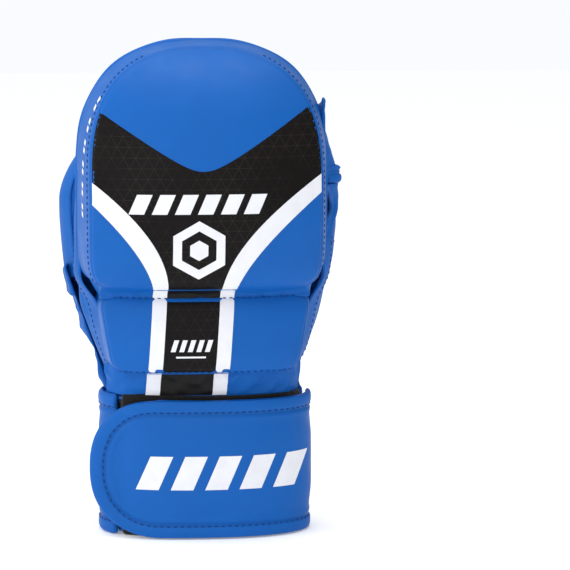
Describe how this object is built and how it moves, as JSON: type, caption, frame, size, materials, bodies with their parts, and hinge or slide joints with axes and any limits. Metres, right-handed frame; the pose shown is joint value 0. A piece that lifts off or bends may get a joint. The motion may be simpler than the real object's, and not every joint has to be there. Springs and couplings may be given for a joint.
{
  "type": "mma sparring glove",
  "caption": "Right-hand open-finger sparring glove: curved knuckle pad, back-of-hand pad, padded thumb guard, finger stalls, and a wrist cuff with a wide wrap strap.",
  "frame": {"origin": "middle of the wrist opening, on the plane of the cuff's lower rim", "axes": "+Z towards the fingertips, -Y out of the back of the hand, +Y out of the palm, -X the thumb side, +X the little-finger side"},
  "size_m": [0.1458, 0.1296, 0.2699],
  "materials": {
    "blue_leather": "smooth semi-matte synthetic leather with fine grain",
    "foam": "closed-cell foam, matt",
    "mesh_lining": "ribbed spacer mesh, matt",
    "loop_fabric": "brushed loop pile, matt",
    "hook_tape": "nylon hook tape, matt",
    "badge": "printed soft badge, satin"
  },
  "bodies": {
    "cuff": {"palm_wrist_panel": "blue_leather", "palm_wrist_foam": "foam", "palm_wrist_lining": "mesh_lining", "wrist_loop_panel": "loop_fabric", "dorsal_wrist_foam": "foam", "dorsal_wrist_lining": "mesh_lining", "palm_round_badge": "badge"},
    "hand": {"backhand_pad_cover": "blue_leather", "backhand_pad_foam": "foam", "backhand_pad_lining": "mesh_lining", "wrist_gusset": "blue_leather", "little_side_hand_wall": "blue_leather", "thenar_panel": "blue_leather"},
    "fingers": {"knuckle_pad_cover": "blue_leather", "knuckle_pad_impact_foam": "foam", "knuckle_pad_comfort_foam": "foam", "knuckle_pad_lining": "mesh_lining", "knuckle_pad_rim_binding": "blue_leather", "index_finger_stall": "blue_leather", "middle_finger_stall": "blue_leather", "ring_finger_stall": "blue_leather", "little_finger_stall": "blue_leather", "palm_bar": "blue_leather", "little_finger_side_wall": "blue_leather", "index_side_wall": "blue_leather"},
    "thumb": {"thumb_channel_lower": "blue_leather", "thumb_pad_lower_cover": "blue_leather", "thumb_pad_lower_foam": "foam"},
    "thumb_tip": {"thumb_channel_upper": "blue_leather", "thumb_pad_upper_cover": "blue_leather", "thumb_pad_upper_foam": "foam"},
    "strap": {"strap_wrap": "blue_leather", "strap_wrap_backing": "loop_fabric"},
    "strap_tip": {"strap_tip": "blue_leather", "strap_hook_patch": "hook_tape"}
  },
  "joints": [
    {"name": "wrist_flex", "type": "hinge", "parent": "cuff", "child": "hand", "pos_m": [0, 0, 0.084], "axis": [1, 0, 0], "range_deg": [-10, 10], "stiffness_Nm_per_rad": 3},
    {"name": "finger_flex", "type": "hinge", "parent": "hand", "child": "fingers", "pos_m": [0, -0.009, 0.1365], "axis": [-1, 0, 0], "range_deg": [0, 15], "stiffness_Nm_per_rad": 2},
    {"name": "thumb_swing", "type": "hinge", "parent": "hand", "child": "thumb", "pos_m": [-0.047, 0.0205, 0.095], "axis": [0, -0.9703, 0.2419], "range_deg": [-8, 25], "stiffness_Nm_per_rad": 1},
    {"name": "thumb_tip_flex", "type": "hinge", "parent": "thumb", "child": "thumb_tip", "pos_m": [-0.047, 0.04446, 0.17457], "axis": [0.922, -0.0937, -0.3757], "range_deg": [0, 10], "stiffness_Nm_per_rad": 0.5},
    {"name": "strap_open", "type": "hinge", "parent": "cuff", "child": "strap", "pos_m": [0.0602, 0.0005, 0.0385], "axis": [0, 0, 1], "range_deg": [0, 150], "stiffness_Nm_per_rad": 0.5},
    {"name": "strap_peel", "type": "hinge", "parent": "strap", "child": "strap_tip", "pos_m": [0, -0.0305, 0.0385], "axis": [0, 0, 1], "range_deg": [0, 75], "stiffness_Nm_per_rad": 0.3}
  ]
}
